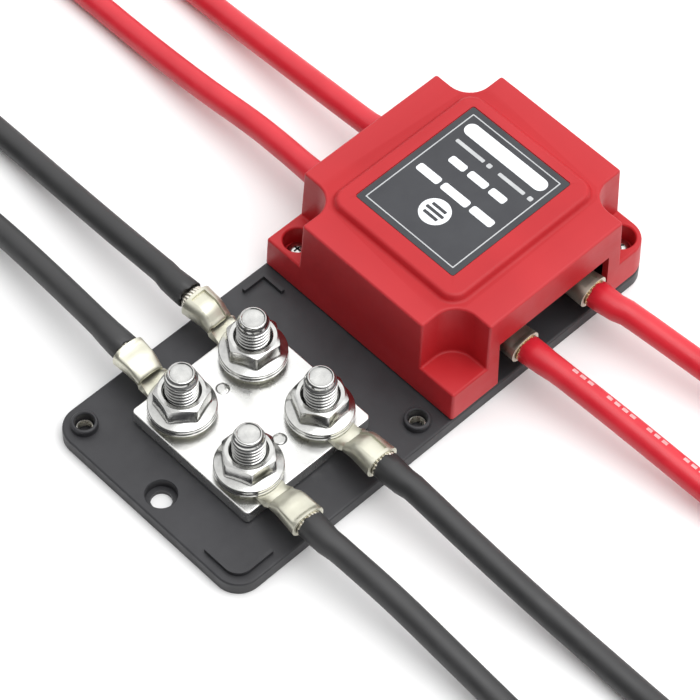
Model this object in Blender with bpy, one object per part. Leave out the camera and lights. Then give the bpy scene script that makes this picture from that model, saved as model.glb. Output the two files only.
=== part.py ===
"""A power distribution box: two bus bars side by side on one plate, each with four M10 studs.

The negative half is open and the positive half carries a red cover. Eight short battery leads
are bolted on, four to each bar, and run straight out over the two long sides of the plate.

Units are metres and +Z is up. The origin is at the middle of the plate's underside, and +X runs
along the plate towards the covered half.
"""

import math

import bmesh
import bpy
from mathutils import Vector

GAP = 0.0003

# The plate and the places of the two halves on it
PLATE_LENGTH = 0.172
PLATE_WIDTH = 0.080
PLATE_TOP = 0.005
PLATE_CORNER = 0.008
HALF_X = PLATE_LENGTH / 4
BOSS_INSET = 0.00705
BOSS_RADIUS = 0.0041
BOSS_BORE = 0.00295
BOSS_TOP = 0.00735
BOSS_FLOOR = 0.0012
RIB_INSET = 0.0030
RIB_THICKNESS = 0.0012
RIB_TOP = 0.0065
RIB_ARM = 0.0090
MOUNT_HOLE_INSET = 0.00734
MOUNT_HOLE_RADIUS = 0.00325
COUNTERBORE_RADIUS = 0.0048
COUNTERBORE_DEPTH = 0.0033

# The bus bars
BAR_SIDE = 0.0496
BAR_CORNER = 0.0015
BAR_BOTTOM = PLATE_TOP + GAP
BAR_TOP = 0.0103
FIXING_OFFSET = 0.0122
FIXING_BORE = 0.0022
FIXING_HEAD = 0.0042

# The fasteners on each stud, from the stud's head upwards
STUD_OFFSET = 0.0142
STUD_RADIUS = 0.005
STUD_TOP = 0.0302
STUD_TIP_RADIUS = 0.0035
STUD_CHAMFER = 0.0014
STUD_HEAD_RADIUS = 0.0080
STUD_HEAD_BOTTOM = 0.0021
CLEARANCE_RADIUS = 0.0054
LUG_BOTTOM = 0.01055
LUG_THICKNESS = 0.0016
WASHER_RADIUS = 0.0104
WASHER_BOTTOM = 0.0124
WASHER_TOP = 0.0134
NUT_BOTTOM = 0.01365
NUT_HEIGHT = 0.0080
NUT_ACROSS_FLATS = 0.015
NUT_FLANGE_RADIUS = 0.01035
NUT_RIM = 0.0012

# The ring lugs, measured from the middle of the ring
LUG_RADIUS = 0.0104
NECK_HALF_WIDTH = 0.0046
BARREL_START = 0.0143
BARREL_END = 0.0255
BARREL_HALF_WIDTH = 0.0057
BARREL_HALF_HEIGHT = 0.00425
BARREL_AXIS = 0.00445
CRIMP_DEPTH = 0.0012

# The leads: 12 inches from ring to ring
CABLE_RADIUS = 0.0040
CABLE_FLARE = 1.13
FLARE_LENGTH = 0.014
STRAIGHT = 0.008
FAR_LUG_Y = 0.3180
FAR_LUG_BOTTOM = 0.00115
CABLE_STEP = 0.018

# The positive half's cover
COVER_BOTTOM = PLATE_TOP + GAP
COVER_START = 0.0002
TAB_TOP = 0.0174
SHOULDER_TOP = 0.0372
COVER_TOP = 0.0394
COVER_WALL = 0.0022
COVER_CEILING = 0.0025
COVER_DRAFT = 0.0010
COVER_ROUNDING = 0.0010
NOTCH_SIDE = 0.0140
NOTCH_FILLET = 0.0080
MOUTH_START = 0.0195
MOUTH_END = 0.0660
MOUTH_TOP = 0.0250
PLATEAU_LOW = (0.0120, -0.0270)
PLATEAU_HIGH = (0.0738, 0.0270)
PLATEAU_CORNER = 0.0060
LABEL_CENTER = (0.0440, 0.0009)
LABEL_SIZE = (0.0495, 0.0405)
LABEL_BOTTOM = 0.03915
LABEL_TOP = 0.03935
RECESS_RADIUS = 0.0045
RECESS_FLOOR = 0.0102
POST_RADIUS = 0.0060
POST_BOTTOM = BOSS_TOP + GAP

# The cover screws and the threaded inserts that they turn into
SCREW_HEAD_RADIUS = 0.0033
SCREW_HEAD_TOP = 0.0130
SCREW_RADIUS = 0.0020
SCREW_BOTTOM = 0.0025
INSERT_RADIUS = 0.00265
INSERT_BORE = 0.0023
INSERT_BOTTOM = 0.0015
INSERT_TOP = 0.0045

# Each lead: how far its lug is turned towards +X in degrees, how far the nut is turned, and the
# places that the cable passes between its two lugs.
LEADS = {
    "negative_1": (2.0, 19, [(-0.0556, 0.052, 0.0147), (-0.05375, 0.075, 0.0124), (-0.0519, 0.100, 0.0091),
                             (-0.0509, 0.125, 0.0058), (-0.0505, 0.155, 0.0044), (-0.0502, 0.220, 0.0044)]),
    "negative_2": (-1.1, 55, [(-0.0289, 0.052, 0.0147), (-0.02825, 0.075, 0.0124), (-0.0269, 0.100, 0.0091),
                              (-0.0254, 0.125, 0.0058), (-0.0249, 0.155, 0.0044), (-0.0247, 0.220, 0.0044)]),
    "negative_3": (-3.4, 53, [(-0.0588, -0.052, 0.0147), (-0.0578, -0.075, 0.0124), (-0.0575, -0.100, 0.0091),
                              (-0.0572, -0.125, 0.0058), (-0.0570, -0.155, 0.0044), (-0.0569, -0.220, 0.0044)]),
    "negative_4": (-1.0, 4, [(-0.0288, -0.052, 0.0147), (-0.0287, -0.075, 0.0124), (-0.0279, -0.100, 0.0091),
                             (-0.0265, -0.125, 0.0058), (-0.0258, -0.155, 0.0044), (-0.0255, -0.220, 0.0044)]),
    "positive_1": (1.2, 40, [(0.0297, 0.052, 0.0147), (0.03095, 0.075, 0.0124), (0.03105, 0.100, 0.0091),
                             (0.0319, 0.125, 0.0058), (0.0324, 0.155, 0.0044), (0.0326, 0.220, 0.0044)]),
    "positive_2": (-2.5, 12, [(0.0554, 0.052, 0.0147), (0.05585, 0.075, 0.0124), (0.0569, 0.100, 0.0091),
                              (0.0581, 0.125, 0.0058), (0.0585, 0.155, 0.0044), (0.0587, 0.220, 0.0044)]),
    "positive_3": (2.6, 33, [(0.0309, -0.052, 0.0147), (0.03285, -0.075, 0.0124), (0.03495, -0.100, 0.0091),
                             (0.0370, -0.125, 0.0058), (0.0378, -0.155, 0.0044), (0.0382, -0.220, 0.0044)]),
    "positive_4": (4.5, 8, [(0.0611, -0.052, 0.0147), (0.0642, -0.075, 0.0124), (0.0676, -0.100, 0.0091),
                            (0.0700, -0.125, 0.0058), (0.0711, -0.155, 0.0044), (0.0717, -0.220, 0.0044)]),
}


def clear_scene():
    for item in list(bpy.data.objects):
        bpy.data.objects.remove(item, do_unlink=True)


def make_material(name, color, roughness, metallic):
    material = bpy.data.materials.new(name)
    material.use_nodes = True
    shader = material.node_tree.nodes["Principled BSDF"]
    shader.inputs["Base Color"].default_value = (*color, 1.0)
    shader.inputs["Roughness"].default_value = roughness
    shader.inputs["Metallic"].default_value = metallic
    material.diffuse_color = (*color, 1.0)
    return material


def add_object(name, mesh, material=None, place=(0.0, 0.0, 0.0), turn=0.0):
    item = bpy.data.objects.new(name, mesh)
    if material and not item.data.materials:
        item.data.materials.append(material)
    item.location = place
    item.rotation_euler.z = turn
    bpy.context.scene.collection.objects.link(item)
    return item


def finish_mesh(name, model):
    bmesh.ops.recalc_face_normals(model, faces=model.faces)
    mesh = bpy.data.meshes.new(name)
    model.to_mesh(mesh)
    model.free()
    mesh.shade_smooth()
    mesh.set_sharp_from_angle(angle=math.radians(32))
    return mesh


def add_loft(model, rings, closed=False):
    """Skins the rings in order, and caps the two ends unless the rings go round to the first again."""
    loops = [[model.verts.new(point) for point in ring] for ring in rings]
    pairs = list(zip(loops, loops[1:]))
    if closed:
        pairs.append((loops[-1], loops[0]))
    else:
        model.faces.new(reversed(loops[0]))
        model.faces.new(loops[-1])
    for lower, upper in pairs:
        for index in range(len(lower)):
            after = (index + 1) % len(lower)
            model.faces.new((lower[index], lower[after], upper[after], upper[index]))


def loft_mesh(name, rings, closed=False):
    model = bmesh.new()
    add_loft(model, rings, closed)
    return finish_mesh(name, model)


def add_turned(model, profile, sides, center=(0.0, 0.0), hollow=False):
    """Spins (radius, height) pairs about Z; a hollow profile also joins its last pair to its first."""
    corners = [model.verts.new((center[0] + radius, center[1], height)) for radius, height in profile]
    edges = [model.edges.new(pair) for pair in zip(corners, corners[1:])]
    if hollow:
        edges.append(model.edges.new((corners[-1], corners[0])))
    bmesh.ops.spin(model, geom=corners + edges, cent=(*center, 0.0), axis=(0.0, 0.0, 1.0),
                   angle=2 * math.pi, steps=sides, use_merge=True)
    bmesh.ops.remove_doubles(model, verts=model.verts, dist=1e-6)


def turned_mesh(name, profile, sides, hollow=False):
    model = bmesh.new()
    add_turned(model, profile, sides, hollow=hollow)
    return finish_mesh(name, model)


def arc(center, radius, start, end, steps):
    """Points of an arc, with its start and end given in degrees."""
    angles = [math.radians(start + (end - start) * step / steps) for step in range(steps + 1)]
    return [(center[0] + radius * math.cos(a), center[1] + radius * math.sin(a)) for a in angles]


def rounded_rectangle(low, high, radii, steps=4):
    """An outline that runs counterclockwise from the corner at low, with one radius for each corner."""
    corners = ((low[0], low[1], 1, 1), (high[0], low[1], -1, 1),
               (high[0], high[1], -1, -1), (low[0], high[1], 1, -1))
    outline = []
    for quarter, (x, y, inward_x, inward_y) in enumerate(corners):
        radius = radii[quarter]
        center = (x + inward_x * radius, y + inward_y * radius)
        outline += arc(center, radius, 180 + 90 * quarter, 270 + 90 * quarter, steps)
    return outline


def at_height(outline, height):
    return [(x, y, height) for x, y in outline]


def box_rings(low, high, radii, levels, steps=4):
    """Rings of a rounded box, where each level is a pair: how far the outline is inset, and its height."""
    rings = []
    for inset, height in levels:
        inner_low = (low[0] + inset, low[1] + inset)
        inner_high = (high[0] - inset, high[1] - inset)
        inner_radii = [max(radius - inset, 0.0003) for radius in radii]
        rings.append(at_height(rounded_rectangle(inner_low, inner_high, inner_radii, steps), height))
    return rings


def combine(item, tool, operation):
    """Joins the tool to the item with a Boolean, and keeps the tool out of the model."""
    modifier = item.modifiers.new(tool.name, "BOOLEAN")
    modifier.operation = operation
    modifier.solver = "EXACT"
    modifier.object = tool
    tool.hide_render = True
    tool.display_type = "WIRE"


def tool_object(name, model):
    return add_object(name, finish_mesh(name, model))


def half_places(x, y):
    """The same place on the negative half and, turned half a turn, on the positive half."""
    return (x, y), (-x, -y)


def boss_places():
    edge_x = PLATE_LENGTH / 2 - BOSS_INSET
    edge_y = PLATE_WIDTH / 2 - BOSS_INSET
    return [*half_places(-edge_x, edge_y), *half_places(-BOSS_INSET, -edge_y)]


def cover_screw_places():
    return [place for place in boss_places() if place[0] > 0]


def stud_places():
    """Stud place by name: 1 and 2 at the back, 3 and 4 at the front."""
    places = {}
    for half, center in (("negative", -HALF_X), ("positive", HALF_X)):
        for number, (side_x, side_y) in enumerate(((-1, 1), (1, 1), (-1, -1), (1, -1)), start=1):
            places[f"{half}_{number}"] = (center + side_x * STUD_OFFSET, side_y * STUD_OFFSET)
    return places


def fixing_places():
    return [(center, side * FIXING_OFFSET) for center in (-HALF_X, HALF_X) for side in (-1, 1)]


def square_rib():
    """The L-shaped rib at the middle of the plate, on the negative half."""
    x = -RIB_INSET
    y = PLATE_WIDTH / 2 - RIB_INSET
    return [(x, y), (x - RIB_ARM, y), (x - RIB_ARM, y - RIB_THICKNESS), (x - RIB_THICKNESS, y - RIB_THICKNESS),
            (x - RIB_THICKNESS, y - RIB_ARM), (x, y - RIB_ARM)]


def rounded_rib():
    """The L-shaped rib that follows the plate's outer corner, on the negative half."""
    x = -PLATE_LENGTH / 2 + RIB_INSET
    y = -PLATE_WIDTH / 2 + RIB_INSET
    outer = PLATE_CORNER - RIB_INSET
    center = (x + outer, y + outer)
    reach = outer + RIB_ARM
    return [(x, y + reach), *arc(center, outer, 180, 270, 4), (x + reach, y), (x + reach, y + RIB_THICKNESS),
            *arc(center, outer - RIB_THICKNESS, 270, 180, 4), (x + RIB_THICKNESS, y + reach)]


def build_base_plate(material):
    half_length = PLATE_LENGTH / 2
    half_width = PLATE_WIDTH / 2
    edge = 0.0008
    levels = [(0.0, 0.0), (0.0, PLATE_TOP - edge), (edge * 0.3, PLATE_TOP - edge * 0.3), (edge, PLATE_TOP)]
    rings = box_rings((-half_length, -half_width), (half_length, half_width), [PLATE_CORNER] * 4, levels, 5)
    plate = add_object("base_plate", loft_mesh("base_plate", rings), material)

    raised = bmesh.new()
    for place in boss_places():
        add_turned(raised, [(0.0, PLATE_TOP - 0.001), (BOSS_RADIUS, PLATE_TOP - 0.001),
                            (BOSS_RADIUS, BOSS_TOP - 0.0006), (BOSS_RADIUS - 0.0006, BOSS_TOP), (0.0, BOSS_TOP)],
                   18, place)
    for outline in (square_rib(), rounded_rib()):
        for sign in (1, -1):
            turned = [(sign * x, sign * y) for x, y in outline]
            add_loft(raised, [at_height(turned, PLATE_TOP - 0.001), at_height(turned, RIB_TOP)])
    combine(plate, tool_object("raised_features", raised), "UNION")

    holes = bmesh.new()
    for place in boss_places():
        add_turned(holes, [(0.0, BOSS_FLOOR), (BOSS_BORE, BOSS_FLOOR), (BOSS_BORE, 0.009), (0.0, 0.009)], 16, place)
    for place in stud_places().values():
        pocket = STUD_HEAD_RADIUS + GAP
        floor = STUD_HEAD_BOTTOM - GAP
        add_turned(holes, [(0.0, floor), (pocket, floor), (pocket, 0.006), (0.0, 0.006)], 20, place)
    for side in (-1, 1):
        place = (side * (half_length - MOUNT_HOLE_INSET), 0.0)
        floor = PLATE_TOP - COUNTERBORE_DEPTH
        add_turned(holes, [(0.0, -0.001), (MOUNT_HOLE_RADIUS, -0.001), (MOUNT_HOLE_RADIUS, floor),
                           (COUNTERBORE_RADIUS, floor), (COUNTERBORE_RADIUS, 0.006), (0.0, 0.006)], 20, place)
    for place in fixing_places():
        add_turned(holes, [(0.0, -0.001), (FIXING_HEAD, -0.001), (FIXING_HEAD, 0.0004), (FIXING_BORE, 0.0024),
                           (FIXING_BORE, 0.006), (0.0, 0.006)], 16, place)
    combine(plate, tool_object("plate_holes", holes), "DIFFERENCE")


def build_bus_bars(material):
    half_side = BAR_SIDE / 2
    edge = 0.0004
    levels = [(edge, BAR_BOTTOM), (0.0, BAR_BOTTOM + edge), (0.0, BAR_TOP - edge), (edge, BAR_TOP)]
    for half, center in (("negative", -HALF_X), ("positive", HALF_X)):
        name = f"{half}_bus_bar"
        rings = box_rings((center - half_side, -half_side), (center + half_side, half_side), [BAR_CORNER] * 4,
                          levels, 2)
        bar = add_object(name, loft_mesh(name, rings), material)
        holes = bmesh.new()
        for stud, place in stud_places().items():
            if stud.startswith(half):
                add_turned(holes, [(0.0, 0.004), (CLEARANCE_RADIUS, 0.004), (CLEARANCE_RADIUS, 0.012),
                                   (0.0, 0.012)], 20, place)
        for place in fixing_places():
            if place[0] == center:
                add_turned(holes, [(0.0, 0.004), (FIXING_BORE, 0.004), (FIXING_BORE, 0.012), (0.0, 0.012)],
                           12, place)
        combine(bar, tool_object(f"{half}_bar_holes", holes), "DIFFERENCE")


def hexagon_radius(angle):
    """How far a regular hexagon of the nut's size reaches at this angle, with a corner at 0 degrees."""
    from_flat = (angle % 60) - 30
    return NUT_ACROSS_FLATS / 2 / math.cos(math.radians(from_flat))


def nut_mesh():
    """A flange nut from its flange's underside at zero, with the bore as the first and last rings."""
    angles = range(0, 360, 20)

    def ring(radius_at, height):
        return [(radius_at(a) * math.cos(math.radians(a)), radius_at(a) * math.sin(math.radians(a)), height)
                for a in angles]

    flat_radius = NUT_ACROSS_FLATS / 2
    rings = [
        ring(lambda a: CLEARANCE_RADIUS, 0.0),
        ring(lambda a: NUT_FLANGE_RADIUS, 0.0),
        ring(lambda a: NUT_FLANGE_RADIUS, NUT_RIM),
        ring(hexagon_radius, NUT_RIM + 0.0014),
        ring(hexagon_radius, NUT_HEIGHT - 0.0007),
        ring(lambda a: flat_radius, NUT_HEIGHT),
        ring(lambda a: CLEARANCE_RADIUS, NUT_HEIGHT),
    ]
    return loft_mesh("flange_nut", rings, closed=True)


def build_fasteners(steel):
    stud_profile = [(0.0, STUD_HEAD_BOTTOM), (STUD_HEAD_RADIUS, STUD_HEAD_BOTTOM), (STUD_HEAD_RADIUS, PLATE_TOP),
                    (STUD_RADIUS, PLATE_TOP), (STUD_RADIUS, STUD_TOP - STUD_CHAMFER),
                    (STUD_TIP_RADIUS, STUD_TOP), (0.0, STUD_TOP)]
    thickness = WASHER_TOP - WASHER_BOTTOM
    washer_profile = [(CLEARANCE_RADIUS, 0.0), (WASHER_RADIUS, 0.0), (WASHER_RADIUS, thickness),
                      (CLEARANCE_RADIUS, thickness)]
    stud = turned_mesh("stud", stud_profile, 20)
    washer = turned_mesh("washer", washer_profile, 20, hollow=True)
    nut = nut_mesh()
    for name, (x, y) in stud_places().items():
        half, number = name.split("_")
        add_object(f"{half}_stud_{number}", stud, steel, (x, y, 0.0))
        add_object(f"{half}_washer_{number}", washer, steel, (x, y, WASHER_BOTTOM))
        add_object(f"{half}_nut_{number}", nut, steel, (x, y, NUT_BOTTOM), math.radians(LEADS[name][1]))


def lug_outline():
    """The ring and its neck, from the neck's one corner round the ring to the other."""
    neck_end = BARREL_START + 0.0015
    return [(NECK_HALF_WIDTH, neck_end), (-NECK_HALF_WIDTH, neck_end), *arc((0.0, 0.0), LUG_RADIUS, 123, 417, 15)]


def barrel_ring(along, crimp):
    """A ring of the barrel at this distance from the stud, its top pressed flat by the crimp depth."""
    top = BARREL_AXIS + BARREL_HALF_HEIGHT - crimp
    ring = []
    for step in range(14):
        angle = math.radians(step * 360 / 14)
        height = BARREL_AXIS + BARREL_HALF_HEIGHT * math.sin(angle)
        ring.append((BARREL_HALF_WIDTH * math.cos(angle), along, min(height, top)))
    return ring


def lug_object(name, material, place, turn):
    """A ring lug whose barrel points along its own +Y before it is turned."""
    outline = lug_outline()
    lug = add_object(name, loft_mesh(name, [at_height(outline, 0.0), at_height(outline, LUG_THICKNESS)]),
                     material, place, turn)
    barrel = bmesh.new()
    add_loft(barrel, [barrel_ring(BARREL_START, 0.0), barrel_ring(BARREL_START + 0.0025, 0.0),
                      barrel_ring(BARREL_START + 0.0035, CRIMP_DEPTH), barrel_ring(BARREL_END - 0.0035, CRIMP_DEPTH),
                      barrel_ring(BARREL_END - 0.0025, 0.0), barrel_ring(BARREL_END, 0.0)])
    bore = bmesh.new()
    add_turned(bore, [(0.0, -0.001), (CLEARANCE_RADIUS, -0.001), (CLEARANCE_RADIUS, 0.003), (0.0, 0.003)], 20)
    for suffix, model, operation in (("barrel", barrel, "UNION"), ("bore", bore, "DIFFERENCE")):
        tool = tool_object(f"{name}_{suffix}", model)
        tool.location = place
        tool.rotation_euler.z = turn
        combine(lug, tool, operation)
    return lug


def smooth_point(places, position):
    """A point of the Catmull-Rom curve through the places, where position counts places from the first."""
    first = min(int(position), len(places) - 2)
    t = position - first
    before = places[max(first - 1, 0)]
    start, end = places[first], places[first + 1]
    after = places[min(first + 2, len(places) - 1)]
    return 0.5 * (2 * start + (end - before) * t + (2 * before - 5 * start + 4 * end - after) * t ** 2
                  + (3 * start - before - 3 * end + after) * t ** 3)


def cable_points(places):
    """Points about CABLE_STEP apart along the curve, with closer ones where the jacket flares."""
    fine = [smooth_point(places, index / 40) for index in range(40 * (len(places) - 1) + 1)]
    travelled = [0.0]
    for before, after in zip(fine, fine[1:]):
        travelled.append(travelled[-1] + (after - before).length)
    length = travelled[-1]
    steps = round((length - 2 * FLARE_LENGTH) / CABLE_STEP)
    wanted = [0.0, FLARE_LENGTH / 2]
    wanted += [FLARE_LENGTH + (length - 2 * FLARE_LENGTH) * step / steps for step in range(steps + 1)]
    wanted += [length - FLARE_LENGTH / 2, length]
    points = []
    for distance in wanted:
        nearest = min(range(len(fine)), key=lambda index: abs(travelled[index] - distance))
        from_end = min(distance, length - distance)
        flare = max(1.0 - from_end / FLARE_LENGTH, 0.0)
        points.append((fine[nearest], 1.0 + (CABLE_FLARE - 1.0) * flare))
    return points


def build_cable(name, places, material):
    curve = bpy.data.curves.new(name, "CURVE")
    curve.dimensions = "3D"
    curve.bevel_depth = CABLE_RADIUS
    curve.bevel_resolution = 2
    curve.use_fill_caps = True
    points = cable_points(places)
    spline = curve.splines.new("POLY")
    spline.points.add(len(points) - 1)
    for knot, (place, size) in zip(spline.points, points):
        knot.co = (*place, 1.0)
        knot.radius = size
    add_object(name, curve, material)


def build_leads(tin, jackets):
    for name, (x, y) in stud_places().items():
        half, number = name.split("_")
        turn_east, _, route = LEADS[name]
        side = 1 if y > 0 else -1
        heading = math.radians(90 * side - side * turn_east)
        forward = Vector((math.cos(heading), math.sin(heading), 0.0))
        mouth = Vector((x, y, LUG_BOTTOM + BARREL_AXIS)) + forward * (BARREL_END + GAP)
        far_x = route[-1][0]
        far_mouth = Vector((far_x, side * (FAR_LUG_Y - BARREL_END - GAP), FAR_LUG_BOTTOM + BARREL_AXIS))
        leave = mouth + forward * STRAIGHT
        arrive = far_mouth - Vector((0.0, side * STRAIGHT, 0.0))
        lug_object(f"{half}_lug_{number}", tin, (x, y, LUG_BOTTOM), heading - math.pi / 2)
        build_cable(f"{half}_cable_{number}", [mouth, leave, *map(Vector, route), arrive, far_mouth], jackets[half])
        lug_object(f"{half}_far_lug_{number}", tin, (far_x, side * FAR_LUG_Y, FAR_LUG_BOTTOM),
                   -side * math.pi / 2 - math.pi / 2)


def notch_blocks(name, grow, low):
    """Blocks that fill the cover's four corner notches, a little larger towards the top as the draft asks."""
    model = bmesh.new()
    start, end = COVER_START, PLATE_LENGTH / 2
    inner_x = (start + NOTCH_SIDE, end - NOTCH_SIDE)
    inner_y = PLATE_WIDTH / 2 - NOTCH_SIDE
    beyond = 0.010
    for high_x in (False, True):
        for high_y in (False, True):
            rings = []
            for height in (low, SHOULDER_TOP + 0.004):
                rise = (height - COVER_BOTTOM) / (SHOULDER_TOP - COVER_BOTTOM)
                inset = COVER_DRAFT * rise + grow
                x_pair = (inner_x[1] - inset, end + beyond) if high_x else (start - beyond, inner_x[0] + inset)
                y_pair = (inner_y - inset, 0.05) if high_y else (-0.05, -inner_y + inset)
                fillet = {(False, False): 2, (True, False): 3, (True, True): 0, (False, True): 1}[(high_x, high_y)]
                radii = [NOTCH_FILLET if corner == fillet else 0.0005 for corner in range(4)]
                outline = rounded_rectangle((x_pair[0], y_pair[0]), (x_pair[1], y_pair[1]), radii, 5)
                rings.append(at_height(outline, height))
            add_loft(model, rings)
    return tool_object(name, model)


def cover_block(inset, low, high):
    """The cover's full drafted block, without notches, inset on all sides by this much."""
    rings = []
    for height in (low, high - COVER_ROUNDING, high - COVER_ROUNDING * 0.3, high):
        rise = (height - COVER_BOTTOM) / (SHOULDER_TOP - COVER_BOTTOM)
        above = max(height - (high - COVER_ROUNDING), 0.0)
        rounded = COVER_ROUNDING - math.sqrt(max(COVER_ROUNDING ** 2 - above ** 2, 0.0))
        total = inset + COVER_DRAFT * rise + rounded
        radii = [0.0012, PLATE_CORNER, PLATE_CORNER, 0.0012]
        rings += box_rings((COVER_START, -PLATE_WIDTH / 2), (PLATE_LENGTH / 2, PLATE_WIDTH / 2), radii,
                           [(total, height)], 4)
    return rings


def build_cover(material):
    name = "positive_cover"
    cover = add_object(name, loft_mesh(name, cover_block(0.0, COVER_BOTTOM, SHOULDER_TOP)), material)
    combine(cover, notch_blocks("cover_notches", 0.0, TAB_TOP), "DIFFERENCE")

    plateau = bmesh.new()
    levels = [(0.0, SHOULDER_TOP - 0.001), (0.0, SHOULDER_TOP), (0.0010, COVER_TOP - 0.0004), (0.0016, COVER_TOP)]
    add_loft(plateau, box_rings(PLATEAU_LOW, PLATEAU_HIGH, [PLATEAU_CORNER] * 4, levels))
    combine(cover, tool_object("plateau", plateau), "UNION")

    cavity_mesh = loft_mesh("cavity", cover_block(COVER_WALL, COVER_BOTTOM - 0.001, SHOULDER_TOP - COVER_CEILING))
    cavity = add_object("cavity", cavity_mesh)
    combine(cavity, notch_blocks("notch_linings", COVER_WALL, TAB_TOP - COVER_CEILING), "DIFFERENCE")
    combine(cover, cavity, "DIFFERENCE")

    posts = bmesh.new()
    openings = bmesh.new()
    for place in cover_screw_places():
        add_turned(posts, [(0.0, POST_BOTTOM), (POST_RADIUS, POST_BOTTOM), (POST_RADIUS, TAB_TOP - 0.001),
                           (0.0, TAB_TOP - 0.001)], 20, place)
        add_turned(openings, [(0.0, 0.004), (INSERT_BORE, 0.004), (INSERT_BORE, RECESS_FLOOR),
                              (RECESS_RADIUS, RECESS_FLOOR), (RECESS_RADIUS, TAB_TOP + 0.002),
                              (0.0, TAB_TOP + 0.002)], 20, place)
    mouth = [(0.0, 0.004), (0.0, MOUTH_TOP)]
    add_loft(openings, box_rings((MOUTH_START, -0.045), (MOUTH_END, 0.045), [0.0003] * 4, mouth, 1))
    low = [LABEL_CENTER[axis] - LABEL_SIZE[axis] / 2 - GAP for axis in (0, 1)]
    high = [LABEL_CENTER[axis] + LABEL_SIZE[axis] / 2 + GAP for axis in (0, 1)]
    recess = [(0.0, LABEL_BOTTOM - GAP), (0.0, COVER_TOP + 0.001)]
    add_loft(openings, box_rings(low, high, [0.0010] * 4, recess, 2))
    combine(cover, tool_object("cover_posts", posts), "UNION")
    combine(cover, tool_object("cover_openings", openings), "DIFFERENCE")


def build_label(material):
    low = [LABEL_CENTER[axis] - LABEL_SIZE[axis] / 2 for axis in (0, 1)]
    high = [LABEL_CENTER[axis] + LABEL_SIZE[axis] / 2 for axis in (0, 1)]
    rings = box_rings(low, high, [0.0007] * 4, [(0.0, LABEL_BOTTOM), (0.0, LABEL_TOP)], 2)
    add_object("cover_label", loft_mesh("cover_label", rings), material)


def build_cover_screws(steel):
    head_bottom = RECESS_FLOOR + GAP
    profile = [(0.0, SCREW_BOTTOM), (SCREW_RADIUS, SCREW_BOTTOM), (SCREW_RADIUS, head_bottom),
               (SCREW_HEAD_RADIUS, head_bottom), (SCREW_HEAD_RADIUS, SCREW_HEAD_TOP - 0.0010),
               (SCREW_HEAD_RADIUS * 0.7, SCREW_HEAD_TOP), (0.0, SCREW_HEAD_TOP)]
    screw = turned_mesh("cover_screw", profile, 16)
    for number, (x, y) in enumerate(cover_screw_places(), start=1):
        add_object(f"cover_screw_{number}", screw, steel, (x, y, 0.0))


def build_inserts(brass):
    profile = [(INSERT_BORE, INSERT_BOTTOM), (INSERT_RADIUS, INSERT_BOTTOM), (INSERT_RADIUS, INSERT_TOP),
               (INSERT_BORE, INSERT_TOP)]
    insert = turned_mesh("insert", profile, 16, hollow=True)
    for number, (x, y) in enumerate(boss_places(), start=1):
        add_object(f"threaded_insert_{number}", insert, brass, (x, y, 0.0))


def main():
    clear_scene()
    black_plastic = make_material("black_plastic", (0.060, 0.060, 0.066), 0.50, 0.0)
    red_plastic = make_material("red_plastic", (0.560, 0.050, 0.060), 0.42, 0.0)
    plating = make_material("bright_plating", (0.860, 0.850, 0.820), 0.22, 1.0)
    steel = make_material("steel", (0.700, 0.700, 0.690), 0.30, 1.0)
    tin = make_material("tin", (0.780, 0.780, 0.770), 0.35, 1.0)
    brass = make_material("insert_metal", (0.720, 0.700, 0.640), 0.35, 1.0)
    label = make_material("label_print", (0.090, 0.098, 0.105), 0.55, 0.0)
    jackets = {"negative": make_material("black_jacket", (0.030, 0.030, 0.032), 0.45, 0.0),
               "positive": make_material("red_jacket", (0.520, 0.030, 0.035), 0.42, 0.0)}
    build_base_plate(black_plastic)
    build_bus_bars(plating)
    build_fasteners(steel)
    build_leads(tin, jackets)
    build_cover(red_plastic)
    build_label(label)
    build_cover_screws(steel)
    build_inserts(brass)


main()
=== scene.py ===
"""Looks for a power distribution box: two bus bars with M10 studs, leads on ring lugs, and a red cover."""

import math

import bmesh
import bpy
from mathutils import Matrix, Vector, noise


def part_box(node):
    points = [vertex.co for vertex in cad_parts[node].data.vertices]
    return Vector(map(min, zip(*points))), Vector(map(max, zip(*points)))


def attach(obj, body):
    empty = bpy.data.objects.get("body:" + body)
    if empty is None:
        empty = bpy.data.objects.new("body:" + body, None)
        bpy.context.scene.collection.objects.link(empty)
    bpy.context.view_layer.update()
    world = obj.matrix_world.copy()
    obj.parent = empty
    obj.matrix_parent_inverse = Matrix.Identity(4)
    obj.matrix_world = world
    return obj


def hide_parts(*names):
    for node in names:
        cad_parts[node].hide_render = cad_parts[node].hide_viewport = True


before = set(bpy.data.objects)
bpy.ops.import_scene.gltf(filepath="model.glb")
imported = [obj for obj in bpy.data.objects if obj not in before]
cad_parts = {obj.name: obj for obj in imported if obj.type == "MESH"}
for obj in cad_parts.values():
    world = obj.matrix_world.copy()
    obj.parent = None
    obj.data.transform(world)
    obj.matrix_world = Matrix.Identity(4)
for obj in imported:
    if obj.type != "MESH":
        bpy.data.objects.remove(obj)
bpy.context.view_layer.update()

MM = 0.001


# ------------------------ places read from the frame


def middle(node):
    low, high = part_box(node)
    return (low + high) / 2


LEAD_NAMES = [f"{half}_{number}" for half in ("negative", "positive") for number in (1, 2, 3, 4)]


def node_name(lead, what):
    half, number = lead.split("_")
    return f"{half}_{what}_{number}"


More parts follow.
